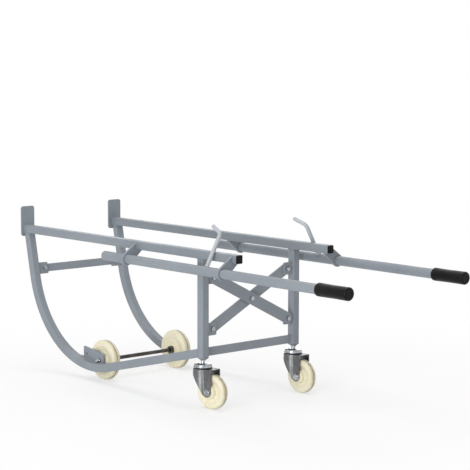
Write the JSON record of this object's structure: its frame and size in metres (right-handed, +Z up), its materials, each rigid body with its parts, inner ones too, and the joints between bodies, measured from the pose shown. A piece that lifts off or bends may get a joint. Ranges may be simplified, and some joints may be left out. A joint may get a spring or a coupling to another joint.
{
  "type": "drum trolley",
  "caption": "Low tubular steel trolley for a lying drum: rockers, toe plates, sliding handles with hooks, fixed rear wheels and swivel casters in front.",
  "frame": {"origin": "on the floor, half way along and half way across", "axes": "+X from the toe plates to the grips, +Y to the right-hand side, +Z up"},
  "size_m": [1.515, 0.487, 0.5302],
  "materials": {
    "frame_paint": "smooth silver grey paint, half gloss",
    "hook_paint": "paler grey paint, half gloss",
    "black_plastic": "black moulded plastic",
    "grey_plastic": "grey moulded plastic",
    "grip_rubber": "black rubber, slight sheen",
    "nylon": "cream cast nylon",
    "zinc": "bright zinc plating",
    "bright_steel": "turned steel",
    "axle_steel": "dark drawn steel"
  },
  "bodies": {
    "frame": {"rail_left": "frame_paint", "rail_right": "frame_paint", "rail_plug_left": "black_plastic", "rail_plug_right": "black_plastic", "rocker_left": "frame_paint", "rocker_right": "frame_paint", "upright_left": "frame_paint", "upright_right": "frame_paint", "leg_foot_left": "frame_paint", "leg_foot_right": "frame_paint", "toe_plate_left": "frame_paint", "toe_plate_right": "frame_paint", "handle_bracket_front_left": "frame_paint", "handle_bracket_front_right": "frame_paint", "handle_bracket_rear_left": "frame_paint", "handle_bracket_rear_right": "frame_paint", "axle_plate_left": "frame_paint", "axle_plate_right": "frame_paint", "brace_lugs_left": "frame_paint", "brace_lugs_right": "frame_paint", "cross_bar_lug_left": "frame_paint", "cross_bar_lug_right": "frame_paint", "caster_stem_left": "zinc", "caster_stem_right": "zinc", "caster_cup_left": "zinc", "caster_cup_right": "zinc", "brace_bar_front": "frame_paint", "brace_bar_rear": "frame_paint", "brace_spacer": "frame_paint", "rear_cross_bar": "frame_paint", "front_cross_bar": "frame_paint", "frame_bolts": "zinc", "frame_nuts": "zinc", "rear_axle": "axle_steel", "axle_studs": "zinc", "axle_washers": "zinc", "axle_collars": "zinc"},
    "rear_wheel_left": {"rear_wheel_left": "nylon", "rear_bush_left": "bright_steel"},
    "caster_left": {"caster_fork_left": "zinc", "caster_ball_ring_left": "bright_steel", "caster_axle_bolt_left": "zinc"},
    "caster_wheel_left": {"caster_wheel_left": "nylon", "caster_bush_left": "bright_steel"},
    "handle_slide_left": {"handle_cap_left": "grey_plastic"},
    "handle_left": {"handle_tube_left": "frame_paint", "handle_grip_left": "grip_rubber", "drum_hook_left": "hook_paint"},
    "rear_wheel_right": {"rear_wheel_right": "nylon", "rear_bush_right": "bright_steel"},
    "caster_right": {"caster_fork_right": "zinc", "caster_ball_ring_right": "bright_steel", "caster_axle_bolt_right": "zinc"},
    "caster_wheel_right": {"caster_wheel_right": "nylon", "caster_bush_right": "bright_steel"},
    "handle_slide_right": {"handle_cap_right": "grey_plastic"},
    "handle_right": {"handle_tube_right": "frame_paint", "handle_grip_right": "grip_rubber", "drum_hook_right": "hook_paint"}
  },
  "joints": [
    {"name": "rear_wheel_spin_left", "type": "hinge", "parent": "frame", "child": "rear_wheel_left", "pos_m": [-0.38891, -0.141, 0.0615], "axis": [0, 1, 0], "continuous": true},
    {"name": "caster_swivel_left", "type": "hinge", "parent": "frame", "child": "caster_left", "pos_m": [0.1215, -0.178, 0.1], "axis": [0, 0, 1], "continuous": true},
    {"name": "caster_wheel_spin_left", "type": "hinge", "parent": "caster_left", "child": "caster_wheel_left", "pos_m": [0.1574, -0.17264, 0.0505], "axis": [-0.1478, 0.989, 0], "continuous": true},
    {"name": "handle_slide_left", "type": "slide", "parent": "frame", "child": "handle_slide_left", "axis": [1, 0, 0], "range_m": [-0.344, 0.061]},
    {"name": "handle_turn_left", "type": "hinge", "parent": "handle_slide_left", "child": "handle_left", "pos_m": [0.2765, -0.225, 0.4054], "axis": [1, 0, 0], "range_deg": [0, 180]},
    {"name": "rear_wheel_spin_right", "type": "hinge", "parent": "frame", "child": "rear_wheel_right", "pos_m": [-0.38891, 0.141, 0.0615], "axis": [0, 1, 0], "continuous": true},
    {"name": "caster_swivel_right", "type": "hinge", "parent": "frame", "child": "caster_right", "pos_m": [0.1215, 0.178, 0.1], "axis": [0, 0, 1], "continuous": true},
    {"name": "caster_wheel_spin_right", "type": "hinge", "parent": "caster_right", "child": "caster_wheel_right", "pos_m": [0.15778, 0.17927, 0.0505], "axis": [-0.0349, 0.9994, 0], "continuous": true},
    {"name": "handle_slide_right", "type": "slide", "parent": "frame", "child": "handle_slide_right", "axis": [1, 0, 0], "range_m": [-0.344, 0.061]},
    {"name": "handle_turn_right", "type": "hinge", "parent": "handle_slide_right", "child": "handle_right", "pos_m": [0.2765, 0.225, 0.4054], "axis": [-1, 0, 0], "range_deg": [0, 180]}
  ]
}
